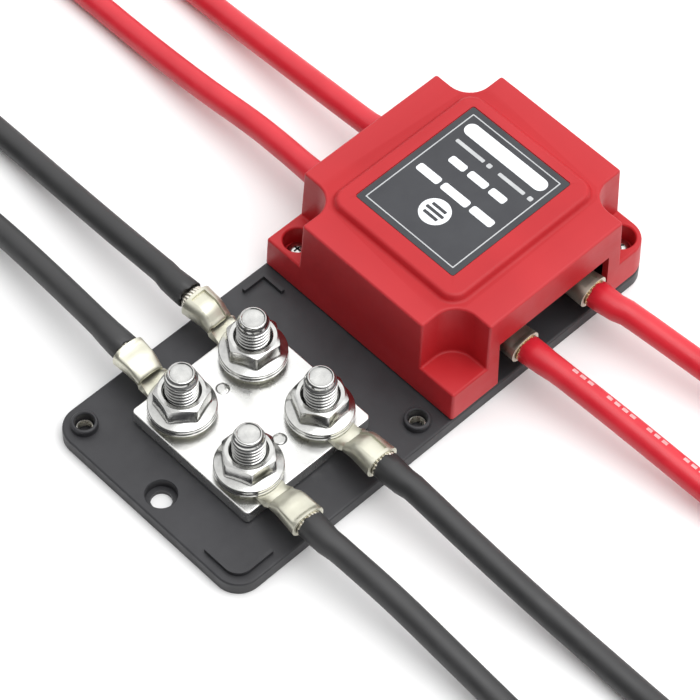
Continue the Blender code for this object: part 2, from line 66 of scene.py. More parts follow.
STUDS = {lead: middle(node_name(lead, "stud")).xy for lead in LEAD_NAMES}
SIDES = {lead: 1 if STUDS[lead].y > 0 else -1 for lead in LEAD_NAMES}
PLATE_LOW, PLATE_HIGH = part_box("base_plate")
COVER_LOW, COVER_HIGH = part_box("positive_cover")
LABEL_LOW, LABEL_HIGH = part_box("cover_label")
BAR_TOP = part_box("negative_bus_bar")[1].z
PLATE_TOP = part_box("negative_bus_bar")[0].z - 0.3 * MM
LUG_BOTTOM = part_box("negative_lug_1")[0].z
FAR_LUG_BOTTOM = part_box("negative_far_lug_1")[0].z


# ------------------------ the leads' facts

# The route's points are those of the CAD tubes, from near lug to far lug.
ROUTES = {
    "negative_1": [(-0.0556, 0.052, 0.0147), (-0.05375, 0.075, 0.0124), (-0.0519, 0.100, 0.0091),
                   (-0.0509, 0.125, 0.0058), (-0.0505, 0.155, 0.0044), (-0.0502, 0.220, 0.0044)],
    "negative_2": [(-0.0289, 0.052, 0.0147), (-0.02825, 0.075, 0.0124), (-0.0269, 0.100, 0.0091),
                   (-0.0254, 0.125, 0.0058), (-0.0249, 0.155, 0.0044), (-0.0247, 0.220, 0.0044)],
    "negative_3": [(-0.0588, -0.052, 0.0147), (-0.0578, -0.075, 0.0124), (-0.0575, -0.100, 0.0091),
                   (-0.0572, -0.125, 0.0058), (-0.0570, -0.155, 0.0044), (-0.0569, -0.220, 0.0044)],
    "negative_4": [(-0.0288, -0.052, 0.0147), (-0.0287, -0.075, 0.0124), (-0.0279, -0.100, 0.0091),
                   (-0.0265, -0.125, 0.0058), (-0.0258, -0.155, 0.0044), (-0.0255, -0.220, 0.0044)],
    "positive_1": [(0.0297, 0.052, 0.0147), (0.03095, 0.075, 0.0124), (0.03105, 0.100, 0.0091),
                   (0.0319, 0.125, 0.0058), (0.0324, 0.155, 0.0044), (0.0326, 0.220, 0.0044)],
    "positive_2": [(0.0554, 0.052, 0.0147), (0.05585, 0.075, 0.0124), (0.0569, 0.100, 0.0091),
                   (0.0581, 0.125, 0.0058), (0.0585, 0.155, 0.0044), (0.0587, 0.220, 0.0044)],
    "positive_3": [(0.0309, -0.052, 0.0147), (0.03285, -0.075, 0.0124), (0.03495, -0.100, 0.0091),
                   (0.0370, -0.125, 0.0058), (0.0378, -0.155, 0.0044), (0.0382, -0.220, 0.0044)],
    "positive_4": [(0.0611, -0.052, 0.0147), (0.0642, -0.075, 0.0124), (0.0676, -0.100, 0.0091),
                   (0.0700, -0.125, 0.0058), (0.0711, -0.155, 0.0044), (0.0717, -0.220, 0.0044)],
}
# How far each lug and each nut is turned, in degrees
LUG_TURNS = {"negative_1": 2.0, "negative_2": -1.1, "negative_3": -3.4, "negative_4": -1.0,
             "positive_1": 1.2, "positive_2": -2.5, "positive_3": 2.6, "positive_4": 4.5}
NUT_TURNS = {"negative_1": 19, "negative_2": 55, "negative_3": 53, "negative_4": 4,
             "positive_1": 40, "positive_2": 12, "positive_3": 33, "positive_4": 8}
# How far the jacket stops short of the lug's barrel
BARE_LENGTHS = {"negative_1": 0.3 * MM, "negative_2": 2.4 * MM, "negative_3": 0.8 * MM,
                "negative_4": 0.9 * MM}
USUAL_BARE_LENGTH = 0.6 * MM
# The leads whose crimp is a narrow pad, those with a print on the jacket, and those whose stud sits lower
PRESSED = ("negative_2", "negative_4", "positive_1", "positive_4")
PRINTED = ("positive_3",)
STUD_RISES = {"negative_3": -0.4 * MM}
CABLE_RADIUS = 4.0 * MM
JACKET_WALL = 0.8 * MM
FLARE_LENGTH = 15 * MM
STRAIGHT = 8 * MM
FAR_LUG_Y = 318 * MM
# The lug in its own millimetres, +Y along the cable; its barrel ends further out on the -Y side
BARREL_START = 14.3
BARREL_AXIS = 4.45
BARREL_ENDS = {1: 24.7, -1: 26.4}
BARREL_WALL = 1.15
PAD_HALF_WIDTH = 2.5
PAD_DEPTH = 0.85
SHEET = 1.6
NEAR_RING_RADIUS = 8.7
FAR_RING_RADIUS = 10.2


# ------------------------ mesh tools


def finish_mesh(name, model, angle=35):
    bmesh.ops.recalc_face_normals(model, faces=model.faces)
    mesh = bpy.data.meshes.new(name)
    model.to_mesh(mesh)
    model.free()
    mesh.shade_smooth()
    mesh.set_sharp_from_angle(angle=math.radians(angle))
    return mesh


def in_mm(*pairs):
    return [(first * MM, second * MM) for first, second in pairs]


def join_loops(model, lower, upper):
    for index in range(len(lower)):
        after = (index + 1) % len(lower)
        model.faces.new((lower[index], lower[after], upper[after], upper[index]))


def add_loft(model, rings, closed=False):
    """Joins rings of points in order: the last to the first when closed, else with a cap at each end."""
    loops = [[model.verts.new(point) for point in ring] for ring in rings]
    if not closed:
        model.faces.new(reversed(loops[0]))
        model.faces.new(loops[-1])
    for lower, upper in zip(loops, loops[1:]):
        join_loops(model, lower, upper)
    if closed:
        join_loops(model, loops[-1], loops[0])


def loft_mesh(name, rings, closed=False, angle=35):
    model = bmesh.new()
    add_loft(model, rings, closed)
    return finish_mesh(name, model, angle)


def add_turned(model, profile, sides, center=(0.0, 0.0), hollow=False):
    """Spins (radius, height) pairs about Z; unless hollow, a disc closes the first and the last ring."""
    angles = [2 * math.pi * side / sides for side in range(sides)]
    rings = [[(center[0] + radius * math.cos(a), center[1] + radius * math.sin(a), height) for a in angles]
             for radius, height in profile]
    if hollow:
        add_loft(model, rings, closed=True)
        return
    loops = [[model.verts.new(point) for point in ring] for ring in rings]
    for lower, upper in zip(loops, loops[1:]):
        join_loops(model, lower, upper)
    for loop, height in ((loops[0][::-1], profile[0][1]), (loops[-1], profile[-1][1])):
        tip = model.verts.new((*center, height))
        for index in range(sides):
            model.faces.new((loop[index], loop[(index + 1) % sides], tip))


def turned_mesh(name, profile, sides, hollow=False, angle=35):
    model = bmesh.new()
    add_turned(model, profile, sides, hollow=hollow)
    return finish_mesh(name, model, angle)


def arc(center, radius, start, end, steps):
    angles = [math.radians(start + (end - start) * step / steps) for step in range(steps + 1)]
    return [(center[0] + radius * math.cos(a), center[1] + radius * math.sin(a)) for a in angles]


def rounded_rectangle(low, high, radii, steps=8):
    corners = ((low[0], low[1], 1, 1), (high[0], low[1], -1, 1),
               (high[0], high[1], -1, -1), (low[0], high[1], 1, -1))
    outline = []
    for quarter, (x, y, inward_x, inward_y) in enumerate(corners):
        radius = radii[quarter]
        center = (x + inward_x * radius, y + inward_y * radius)
        outline += arc(center, radius, 180 + 90 * quarter, 270 + 90 * quarter, steps)
    return outline


def at_height(outline, height):
    return [(x, y, height) for x, y in outline]


def box_rings(low, high, radii, levels, steps=8):
    rings = []
    for inset, height in levels:
        inner_low = (low[0] + inset, low[1] + inset)
        inner_high = (high[0] - inset, high[1] - inset)
        inner_radii = [max(radius - inset, 0.2 * MM) for radius in radii]
        rings.append(at_height(rounded_rectangle(inner_low, inner_high, inner_radii, steps), height))
    return rings


def rounded_levels(low, high, radius, bottom=True):
    """(inset, height) pairs of a slab whose top edge, and perhaps bottom edge, is rounded."""
    quarter = [math.pi / 2 * step / 4 for step in range(5)]
    top = [(radius * (1 - math.cos(a)), high - radius * (1 - math.sin(a))) for a in quarter]
    if not bottom:
        return top
    under = [(radius * (1 - math.sin(a)), low + radius * (1 - math.cos(a))) for a in quarter]
    return [*under, *top]


def carved(name, mesh, steps, angle=35):
    """Runs Boolean and bevel steps on a mesh and returns what they leave."""
    item = bpy.data.objects.new(name, mesh)
    bpy.context.scene.collection.objects.link(item)
    tools = []
    for kind, value in steps:
        if kind == "BEVEL":
            width, segments, limit = value
            modifier = item.modifiers.new("edges", "BEVEL")
            modifier.width = width
            modifier.segments = segments
            modifier.limit_method = "ANGLE"
            modifier.angle_limit = math.radians(limit)
            modifier.use_clamp_overlap = False
            continue
        tool = bpy.data.objects.new(f"{name}_tool", value)
        bpy.context.scene.collection.objects.link(tool)
        tools.append(tool)
        modifier = item.modifiers.new("carve", "BOOLEAN")
        modifier.operation = kind
        modifier.solver = "EXACT"
        modifier.object = tool
    depsgraph = bpy.context.evaluated_depsgraph_get()
    result = bpy.data.meshes.new_from_object(item.evaluated_get(depsgraph))
    for spent in [item, *tools]:
        bpy.data.objects.remove(spent)
    result.name = name
    result.shade_smooth()
    result.set_sharp_from_angle(angle=math.radians(angle))
    return result


def add_piece(name, mesh, material, body, replaces=None, slot=None, place=(0.0, 0.0, 0.0), turn=0.0,
              even=False):
    item = bpy.data.objects.new(name, mesh)
    bpy.context.scene.collection.objects.link(item)
    if not mesh.materials:
        mesh.materials.append(material)
    item.location = place
    item.rotation_euler.z = turn
    if even:
        modifier = item.modifiers.new("even_shading", "WEIGHTED_NORMAL")
        modifier.keep_sharp = True
    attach(item, body)
    if replaces:
        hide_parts(replaces)
    return item


# ------------------------ materials


def color_ramp(tree, source, stops):
    """A colour ramp fed by the source, with (position, colour) stops."""
    ramp = tree.nodes.new("ShaderNodeValToRGB")
    while len(ramp.color_ramp.elements) < len(stops):
        ramp.color_ramp.elements.new(0.5)
    for element, (position, color) in zip(ramp.color_ramp.elements, stops):
        element.position = position
        element.color = (*color, 1.0)
    tree.links.new(source, ramp.inputs["Fac"])
    return ramp.outputs["Color"]


def grey_ramp(tree, source, stops):
    return color_ramp(tree, source, [(position, (level, level, level)) for position, level in stops])


class Finish:
    """A Principled material with its colour, roughness and relief varied by noise in object space."""

    def __init__(self, name, metallic):
        self.material = bpy.data.materials.new(name)
        self.material.use_nodes = True
        self.tree = self.material.node_tree
        self.nodes, self.links = self.tree.nodes, self.tree.links
        self.shader = self.nodes["Principled BSDF"]
        self.shader.inputs["Metallic"].default_value = metallic
        self.place = self.nodes.new("ShaderNodeTexCoord").outputs["Object"]
        self.normal = None

    def noise(self, scale, detail):
        texture = self.nodes.new("ShaderNodeTexNoise")
        texture.inputs["Scale"].default_value = scale
        texture.inputs["Detail"].default_value = detail
        self.links.new(self.place, texture.inputs["Vector"])
        return texture.outputs["Fac"]

    def color(self, dark, light, scale, detail):
        self.tint = color_ramp(self.tree, self.noise(scale, detail), [(0.32, dark), (0.68, light)])
        self.links.new(self.tint, self.shader.inputs["Base Color"])

    def mix_by_pointiness(self, stops, socket):
        """Feeds this socket of a mix over the colour by how convex the surface is."""
        point = self.nodes.new("ShaderNodeNewGeometry").outputs["Pointiness"]
        mix = self.nodes.new("ShaderNodeMixRGB")
        self.links.new(grey_ramp(self.tree, point, stops), mix.inputs[socket])
        self.links.new(self.tint, mix.inputs["Color1"])
        self.links.new(mix.outputs["Color"], self.shader.inputs["Base Color"])
        return mix

    def edges(self, color, share):
        """Lightens the convex edges with a painted highlight."""
        mix = self.mix_by_pointiness([(0.505, 0.0), (0.56, share)], "Fac")
        mix.inputs["Color2"].default_value = (*color, 1.0)

    def painted_cavity_shade(self, share):
        """Darkens the grooves and hollows with painted shade, by how concave the surface is."""
        mix = self.mix_by_pointiness([(0.42, 1.0 - share), (0.49, 1.0)], "Color2")
        mix.blend_type = "MULTIPLY"
        mix.inputs["Fac"].default_value = 1.0

    def roughness(self, low, high, scale, detail):
        spread = self.nodes.new("ShaderNodeMapRange")
        spread.inputs["From Min"].default_value = 0.3
        spread.inputs["From Max"].default_value = 0.7
        spread.inputs["To Min"].default_value = low
        spread.inputs["To Max"].default_value = high
        self.links.new(self.noise(scale, detail), spread.inputs["Value"])
        self.links.new(spread.outputs["Result"], self.shader.inputs["Roughness"])

    def bump(self, scale, strength, distance):
        bump = self.nodes.new("ShaderNodeBump")
        bump.inputs["Strength"].default_value = strength
        bump.inputs["Distance"].default_value = distance
        self.links.new(self.noise(scale, 2.0), bump.inputs["Height"])
        if self.normal:
            self.links.new(self.normal, bump.inputs["Normal"])
        self.normal = bump.outputs["Normal"]
        self.links.new(self.normal, self.shader.inputs["Normal"])


# For each finish: whether it is metal; its dark and light colours, with the scale and detail of their noise;
# the lowest and highest roughness, with scale and detail; and each layer of relief by its scale, strength
# and depth in millimetres.
FINISH_ROWS = {
    "charcoal_plastic": (0.0, (0.022, 0.022, 0.025), (0.031, 0.031, 0.035), (60, 3),
                         (0.42, 0.56, 220, 4), ((2600, 0.35, 0.05), (90, 0.12, 0.15))),
    "red_cover_plastic": (0.0, (0.420, 0.010, 0.015), (0.470, 0.015, 0.020), (45, 3),
                          (0.38, 0.50, 180, 4), ((2400, 0.30, 0.05), (70, 0.10, 0.15))),
    "bar_plating": (1.0, (0.70, 0.70, 0.69), (0.90, 0.90, 0.88), (55, 5),
                    (0.20, 0.36, 130, 6), ((700, 0.06, 0.05), (160, 0.10, 0.10))),
    "bright_steel": (1.0, (0.50, 0.50, 0.49), (0.64, 0.64, 0.62), (240, 3),
                     (0.13, 0.26, 420, 6), ((1400, 0.10, 0.04),)),
    # Dark steel that paints shade into the thread's roots.
    "thread_painted_shade": (1.0, (0.09, 0.09, 0.09), (0.16, 0.16, 0.16), (400, 3),
                      (0.4, 0.6, 420, 4), ((1400, 0.1, 0.04),)),
    "tinned_copper": (1.0, (0.60, 0.59, 0.49), (0.70, 0.69, 0.59), (120, 3),
                      (0.36, 0.50, 260, 5), ((900, 0.12, 0.05), (220, 0.15, 0.12))),
    "tinned_strands": (1.0, (0.62, 0.58, 0.50), (0.86, 0.83, 0.76), (500, 3),
                       (0.2, 0.4, 500, 4), ((1500, 0.2, 0.04),)),
    "copper_strands": (1.0, (0.72, 0.42, 0.22), (0.88, 0.70, 0.48), (500, 3),
                       (0.2, 0.4, 500, 4), ((1500, 0.2, 0.04),)),
    "insert_metal": (1.0, (0.60, 0.58, 0.52), (0.80, 0.78, 0.72), (700, 3),
                     (0.22, 0.38, 600, 4), ((1500, 0.1, 0.04),)),
    "black_jacket": (0.0, (0.026, 0.026, 0.027), (0.036, 0.036, 0.037), (80, 3),
                     (0.42, 0.55, 160, 4), ((1500, 0.22, 0.05), (60, 0.2, 0.25))),
    "red_jacket": (0.0, (0.58, 0.014, 0.028), (0.66, 0.024, 0.040), (70, 3),
                   (0.30, 0.42, 160, 4), ((1500, 0.16, 0.05), (60, 0.2, 0.25))),
    "label_film": (0.0, (0.043, 0.044, 0.050), (0.052, 0.054, 0.060), (90, 3),
                   (0.44, 0.56, 300, 4), ((1900, 0.12, 0.04),)),
    "label_white": (0.0, (0.78, 0.80, 0.83), (0.86, 0.88, 0.90), (200, 3),
                    (0.44, 0.56, 300, 4), ((1900, 0.1, 0.04),)),
    "label_grey": (0.0, (0.46, 0.47, 0.48), (0.54, 0.55, 0.56), (200, 3),
                   (0.44, 0.56, 300, 4), ((1900, 0.1, 0.04),)),
    "jacket_print": (0.0, (0.62, 0.30, 0.30), (0.74, 0.45, 0.45), (900, 3),
                     (0.4, 0.5, 300, 4), ((1500, 0.1, 0.04),)),
}


def make_finishes():
    made = {}
    for name, (metallic, dark, light, tint_noise, roughness, reliefs) in FINISH_ROWS.items():
        finish = Finish(name, metallic)
        finish.color(dark, light, *tint_noise)
        finish.roughness(*roughness)
        for scale, strength, depth in reliefs:
            finish.bump(scale, strength, depth * MM)
        made[name] = finish
    # A painted highlight along the red cover's convex edges.
    made["red_cover_plastic"].edges((0.62, 0.06, 0.07), 0.45)
    # Painted shade in the steel's grooves and hollows.
    made["bright_steel"].painted_cavity_shade(0.75)
    for name in ("red_cover_plastic", "label_film"):
        made[name].shader.inputs["Specular IOR Level"].default_value = 0.3
    return {name: finish.material for name, finish in made.items()}


# ------------------------ camera, floor and light


def add_camera():
    azimuth, elevation, roll = (math.radians(angle) for angle in (-45.86, 54.79, 2.12))
    distance = 1.02952
    target = Vector((-0.91 * MM, 1.58 * MM, 0.0))
    back = Vector((math.sin(azimuth) * math.cos(elevation), -math.cos(azimuth) * math.cos(elevation),
                   math.sin(elevation)))
    right = (-back).cross(Vector((0.0, 0.0, 1.0))).normalized()
    up = right.cross(-back)
    tilted_right = math.cos(roll) * right + math.sin(roll) * up
    tilted_up = math.cos(roll) * up - math.sin(roll) * right
    data = bpy.data.cameras.new("camera")
    data.sensor_width = 36.0
    data.lens = 176.53
    camera = bpy.data.objects.new("camera", data)
    turn = Matrix((tilted_right, tilted_up, back)).transposed().to_4x4()
    camera.matrix_world = Matrix.Translation(target + back * distance) @ turn
    bpy.context.scene.collection.objects.link(camera)
    bpy.context.scene.camera = camera


def add_area_light(name, place, target, width, height, power):
    data = bpy.data.lights.new(name, "AREA")
    data.shape = "RECTANGLE"
    data.size = width
    data.size_y = height
    data.energy = power
    light = bpy.data.objects.new(name, data)
    light.location = place
    aim = Vector(target) - Vector(place)
    light.rotation_euler = aim.to_track_quat("-Z", "Y").to_euler()
    bpy.context.scene.collection.objects.link(light)


def add_world():
    """A bright sky above and behind the box, and a dim room on the camera's side, both seen in the metal."""
    world = bpy.data.worlds.new("studio")
    bpy.context.scene.world = world
    world.use_nodes = True
    tree = world.node_tree
    nodes, links = tree.nodes, tree.links
    direction = nodes.new("ShaderNodeTexCoord").outputs["Generated"]
    toward = nodes.new("ShaderNodeVectorMath")
    toward.operation = "DOT_PRODUCT"
    toward.inputs[1].default_value = Vector((0.35, 0.30, 0.88)).normalized()
    links.new(direction, toward.inputs[0])
    stops = ((0.0, 0.06), (0.25, 0.10), (0.47, 0.17), (0.60, 1.0), (1.0, 1.2))
    links.new(grey_ramp(tree, toward.outputs["Value"], stops), nodes["Background"].inputs["Color"])
    nodes["Background"].inputs["Strength"].default_value = 1.2


def add_stage():
    model = bmesh.new()
    bmesh.ops.create_grid(model, x_segments=1, y_segments=1, size=4.0)
    floor = bpy.data.objects.new("floor", finish_mesh("floor", model))
    pale = bpy.data.materials.new("floor_pale")
    pale.use_nodes = True
    shader = pale.node_tree.nodes["Principled BSDF"]
    shader.inputs["Base Color"].default_value = (0.92, 0.92, 0.92, 1.0)
    shader.inputs["Roughness"].default_value = 0.8
    floor.data.materials.append(pale)
    bpy.context.scene.collection.objects.link(floor)
    add_world()
    center = (0.0, 0.0, 0.015)
    add_area_light("key", (0.40, -0.85, 0.50), center, 1.6, 0.8, 3.0)
    add_area_light("overhead", (0.10, -0.40, 1.10), center, 1.1, 1.1, 9.0)
    bpy.context.scene.view_settings.view_transform = "Standard"


# ------------------------ cords


def smooth_point(places, position):
    """A point of the Catmull-Rom curve through the places, where position counts places from the first."""
    first = min(int(position), len(places) - 2)
    t = position - first
    before = places[max(first - 1, 0)]
    start, end = places[first], places[first + 1]
    after = places[min(first + 2, len(places) - 1)]
    return 0.5 * (2 * start + (end - before) * t + (2 * before - 5 * start + 4 * end - after) * t ** 2
                  + (3 * start - before - 3 * end + after) * t ** 3)


def lead_heading(lead):
    side = SIDES[lead]
    angle = math.radians(90 * side - side * LUG_TURNS[lead])
    return Vector((math.cos(angle), math.sin(angle), 0.0))


def lead_places(lead):
    """The route's places from the near lug's mouth to the far lug's mouth."""
    forward = lead_heading(lead)
    side = SIDES[lead]
    reach = BARREL_ENDS[side] * MM + BARE_LENGTHS.get(lead, USUAL_BARE_LENGTH)
    start = Vector((*STUDS[lead], LUG_BOTTOM + BARREL_AXIS * MM)) + forward * reach
    route = [Vector(place) for place in ROUTES[lead]]
    end = Vector((route[-1].x, side * (FAR_LUG_Y - reach), FAR_LUG_BOTTOM + BARREL_AXIS * MM))
    return [start, start + forward * STRAIGHT, *route, end - Vector((0.0, side * STRAIGHT, 0.0)), end]


def even_points(places, step):
    """Points a step apart along the smooth curve, ends included."""
    fine = [smooth_point(places, index / 60) for index in range(60 * (len(places) - 1) + 1)]
    travelled = [0.0]
    for before, after in zip(fine, fine[1:]):
        travelled.append(travelled[-1] + (after - before).length)
    count = round(travelled[-1] / step)
    points, index = [], 0
    for number in range(count + 1):
        wanted = travelled[-1] * number / count
        while index < len(fine) - 2 and travelled[index + 1] < wanted:
            index += 1
        share = (wanted - travelled[index]) / (travelled[index + 1] - travelled[index])
        points.append(fine[index].lerp(fine[index + 1], share))
    return points, travelled[-1]


def jacket_size(distance):
    """The jacket's half width and half height at this distance from its nearer cut end."""
    share = max(1.0 - distance / FLARE_LENGTH, 0.0)
    ease = share * share * (3 - 2 * share)
    return CABLE_RADIUS + 0.62 * MM * ease, CABLE_RADIUS + 0.30 * MM * ease


def path_frames(points):
    """Each point of the path with the directions along it, across it and over it."""
    frames = []
    for index, point in enumerate(points):
        along = (points[min(index + 1, len(points) - 1)] - points[max(index - 1, 0)]).normalized()
        across = along.cross(Vector((0.0, 0.0, 1.0))).normalized()
        frames.append((point, along, across, across.cross(along)))
    return frames


def add_print_marks(model, frames, step):
    """A row of plain raised dashes along the jacket, in groups like words."""
    words = ((16, 3), (29, 4), (44, 3), (58, 4), (73, 2), (84, 3), (99, 4))
    pitch, dash = 2.9, 1.9
    middle_angle, half_angle = math.radians(112), math.radians(10)
    layers = ((CABLE_RADIUS + 0.03 * MM, (-1, 0, 1)), (CABLE_RADIUS - 0.2 * MM, (1, 0, -1)))
    for start, count in words:
        for number in range(count):
            rings = []
            for distance in (start + pitch * number, start + pitch * number + dash):
                place = distance * MM / step
                point, _, across, over = frames[int(place)]
                point = point.lerp(frames[int(place) + 1][0], place - int(place))
                ring = []
                for radius, turns in layers:
                    for turn in turns:
                        angle = middle_angle + turn * half_angle
                        ring.append(point + (across * math.cos(angle) + over * math.sin(angle)) * radius)
                rings.append(ring)
            add_loft(model, rings)


def jacket_mesh(name, points, length, printed):
    """A jacket with two open, slightly ragged ends that show its wall."""
    sides = 40
    step = length / (len(points) - 1)
    frames = path_frames(points)

    def ring(index, shrink=0.0, inward=0.0, ragged=0.0):
        point, along, across, over = frames[index]
        wide, high = jacket_size(min(index * step, length - index * step))
        made = []
        for side in range(sides):
            angle = 2 * math.pi * side / sides
            spot = Vector((math.cos(angle), math.sin(angle), point.x * 90)) * 4.0
            made.append(point + across * ((wide - shrink) * math.cos(angle))
                        + over * ((high - shrink) * math.sin(angle))
                        + along * (inward + ragged * noise.noise(spot)))
        return made

    wall, lip, mouth, last = JACKET_WALL, 0.2 * MM, 6 * MM, len(points) - 1
    torn, cut = 0.9 * MM, 0.5 * MM
    start = [ring(0, wall, mouth), ring(0, wall, lip, cut), ring(0, lip, 0.0, torn)]
    finish = [ring(last, lip, 0.0, torn), ring(last, wall, -lip, cut), ring(last, wall, -mouth)]
    middle_rings = [ring(index) for index in range(1, last)]
    body = [ring(0, 0.0, lip, torn), *middle_rings, ring(last, 0.0, -lip, torn)]
    model = bmesh.new()
    add_loft(model, [*start, *body, *finish])
    if printed:
        tube_faces = len(model.faces)
        add_print_marks(model, frames, step)
        model.faces.ensure_lookup_table()
        for face in model.faces[tube_faces:]:
            face.material_index = 1
    return finish_mesh(name, model, angle=50)


def strand_mesh(end):
    """The bare strands inside one lug's barrel, along the lug's own +Y."""
    model = bmesh.new()
    # How widely the bundle spreads at each distance past the barrel's mouth
    stations = ((19.0 - end, 0.62), (-2.6, 0.66), (-0.7, 0.80), (0.4, 1.0), (2.0, 0.86), (3.0, 0.74),
                (6.0, 0.70))
    # Each layer's number of wires, half width, half height and wire radius
    layers = ((20, 3.95, 3.00, 0.68), (12, 2.6, 2.0, 0.68), (6, 1.2, 0.8, 0.7))
    corners = [2 * math.pi * side / 8 for side in range(8)]
    for layer, (count, wide, high, size) in enumerate(layers):
        for wire in range(count):
            rings = []
            for y, grow in stations:
                angle = 2 * math.pi * wire / count + math.radians(2.2 * y) + layer
                x, z = wide * grow * math.cos(angle), BARREL_AXIS + high * grow * math.sin(angle)
                radius = size * (0.5 + 0.5 * grow)
                rings.append([Vector((x + radius * math.cos(a), end + y, z + radius * math.sin(a))) * MM
                              for a in corners])
            add_loft(model, rings)
    return finish_mesh("strands", model, 50)


def ease_between(value, low, high):
    share = min(max((value - low) / (high - low), 0.0), 1.0)
    return share * share * (3 - 2 * share)


def crimp_depth(x, y, end, pressed):
    """How far the barrel's top is pressed in: a narrow pad with sharp sides, or a broad soft one."""
    if pressed:
        return PAD_DEPTH * (abs(x) < PAD_HALF_WIDTH) * (y < end - 1.2)
    across = max(1 - (abs(x) / 4.7) ** 4, 0.0)
    inner_end = ease_between(y, BARREL_START + 0.4, BARREL_START + 3)
    return across * inner_end * (1 - ease_between(y, end - 2.2, end - 0.4))


def barrel_ring(y, end, pressed, inset):
    """A section of the flattened barrel: almost shut at the neck, wider and taller towards its mouth."""
    share = (y - BARREL_START) / (end - BARREL_START)
    tall = 2.05 + 2.1 * ease_between(y, BARREL_START - 1.0, BARREL_START + 4.8)
    wide, high, power = 4.75 + 1.0 * share - inset, tall - inset, 2.4
    axis = 0.2 + tall
    pad_sides = ((PAD_HALF_WIDTH + 0.25) / wide, (PAD_HALF_WIDTH - 0.05) / wide)
    shares = [1.0, 0.995, 0.98, 0.95, 0.90, 0.82, 0.73, 0.63, *pad_sides, 0.30, 0.15, 0.0]
    shares.sort(reverse=True)
    top = [share * wide for share in shares] + [-share * wide for share in reversed(shares[:-1])]
    ring = []
    for x in top:
        z = high * max(1 - abs(x / wide) ** power, 0.0) ** (1 / power)
        dent = crimp_depth(x, y, end, pressed) * ease_between(z, 0.0, 1.0)
        ring.append(Vector((x, y, axis + z - dent)) * MM)
    for x in reversed(top[1:-1]):
        z = high * max(1 - abs(x / wide) ** power, 0.0) ** (1 / power)
        ring.append(Vector((x, y, axis - z)) * MM)
    return ring


def neck_ring(y, wrap, width, lift, thick, flat):
    """A section of the neck, whose sheet curls up at both sides as it nears the barrel."""
    turn = math.radians(wrap)
    radius = width / turn
    steps = 28
    ring = []
    for inset, order in ((0.0, range(steps + 1)), (thick, range(steps, -1, -1))):
        for step in order:
            angle = turn * (step / steps - 0.5)
            z = inset + (radius - inset) * (1 - math.cos(angle)) * flat
            ring.append(Vector(((radius - inset) * math.sin(angle), y, lift + z)) * MM)
    return ring


def lug_mesh(pressed, end, reach):
    """A ring lug of thick tinned sheet: a flat ring, a neck with curled sides and a crimped barrel."""
    stations = [BARREL_START, BARREL_START + 0.12, 14.9, 15.6, 16.5, 17.5, 19, 21, end - 2.2, end - 1.7,
                end - 1.25, end - 1.15, end - 0.7, end - 0.12, end]
    trims = [0.12] + [0.0] * (len(stations) - 2) + [0.12]
    outer = [barrel_ring(y, end, pressed, trim) for y, trim in zip(stations, trims)]
    inner = [barrel_ring(y, end, pressed, BARREL_WALL - trim) for y, trim in zip(reversed(stations), trims)]
    model = bmesh.new()
    add_loft(model, [*outer, *inner], closed=True)
    # The neck's sections: y, degrees of wrap, width of sheet, lift, thickness and share of the curl's rise
    sections = ((6.4, 2, 9.3, 0.0, SHEET, 0.9), (10.0, 4, 9.2, 0.0, SHEET, 0.9),
                (11.0, 16, 9.3, 0.0, SHEET, 0.9), (11.9, 42, 9.9, 0.0, 1.55, 0.9),
                (12.7, 78, 11.2, 0.02, 1.5, 0.8), (13.4, 118, 12.9, 0.08, 1.4, 0.64),
                (14.0, 156, 14.0, 0.18, 1.3, 0.50), (14.6, 178, 14.6, 0.25, 1.15, 0.42),
                (15.4, 182, 14.6, 0.30, 1.05, 0.44))
    add_loft(model, [neck_ring(*section) for section in sections])
    profile = ((5.4, 0.15), (5.55, 0.0), (reach - 0.2, 0.0), (reach, 0.15), (reach, SHEET - 0.2),
               (reach - 0.2, SHEET), (5.6, SHEET), (5.4, SHEET - 0.15))
    add_turned(model, in_mm(*profile), 96, hollow=True)
    return finish_mesh("lug", model, 40)


def lug_meshes(reach):
    """A lug for each kind of crimp on each side, whose ring has this radius."""
    return {(pressed, side): lug_mesh(pressed, end, reach)
            for pressed in (False, True) for side, end in BARREL_ENDS.items()}


def add_leads(finishes):
    tin = finishes["tinned_copper"]
    strands = {side: strand_mesh(end) for side, end in BARREL_ENDS.items()}
    copper_strands = {side: mesh.copy() for side, mesh in strands.items()}
    near_lugs, far_lugs = lug_meshes(NEAR_RING_RADIUS), lug_meshes(FAR_RING_RADIUS)
    for lead in LEAD_NAMES:
        red = lead.startswith("positive")
        jacket_slot = "red_jacket" if red else "black_jacket"
        side = SIDES[lead]
        forward = lead_heading(lead)
        turn = math.atan2(forward.y, forward.x) - math.pi / 2
        places = lead_places(lead)
        points, length = even_points(places, 4 * MM)
        mesh = jacket_mesh("jacket", points, length, lead in PRINTED)
        jacket = add_piece(node_name(lead, "cable_jacket"), mesh, finishes[jacket_slot], "root",
                           node_name(lead, "cable"), jacket_slot)
        if lead in PRINTED:
            jacket.data.materials.append(finishes["jacket_print"])
        near_place = (*STUDS[lead], LUG_BOTTOM)
        far_place = (points[-1].x, side * FAR_LUG_Y, FAR_LUG_BOTTOM)
        far_turn = 0.0 if side < 0 else math.pi
        wires = (strands[side], finishes["tinned_strands"])
        if red:
            wires = (copper_strands[side], finishes["copper_strands"])
        kind = (lead in PRESSED, side)
        add_piece(node_name(lead, "ring_lug"), near_lugs[kind], tin, "root", node_name(lead, "lug"), "tin",
                  near_place, turn)
        add_piece(node_name(lead, "strands"), *wires, "root", slot="tin", place=near_place, turn=turn)
        far_lug = add_piece(node_name(lead, "far_ring_lug"), far_lugs[kind], tin, "root",
                            node_name(lead, "far_lug"), "tin", far_place, far_turn)
        far_wires = add_piece(node_name(lead, "far_strands"), *wires, "root", slot="tin", place=far_place,
                              turn=far_turn)


# ------------------------ fasteners


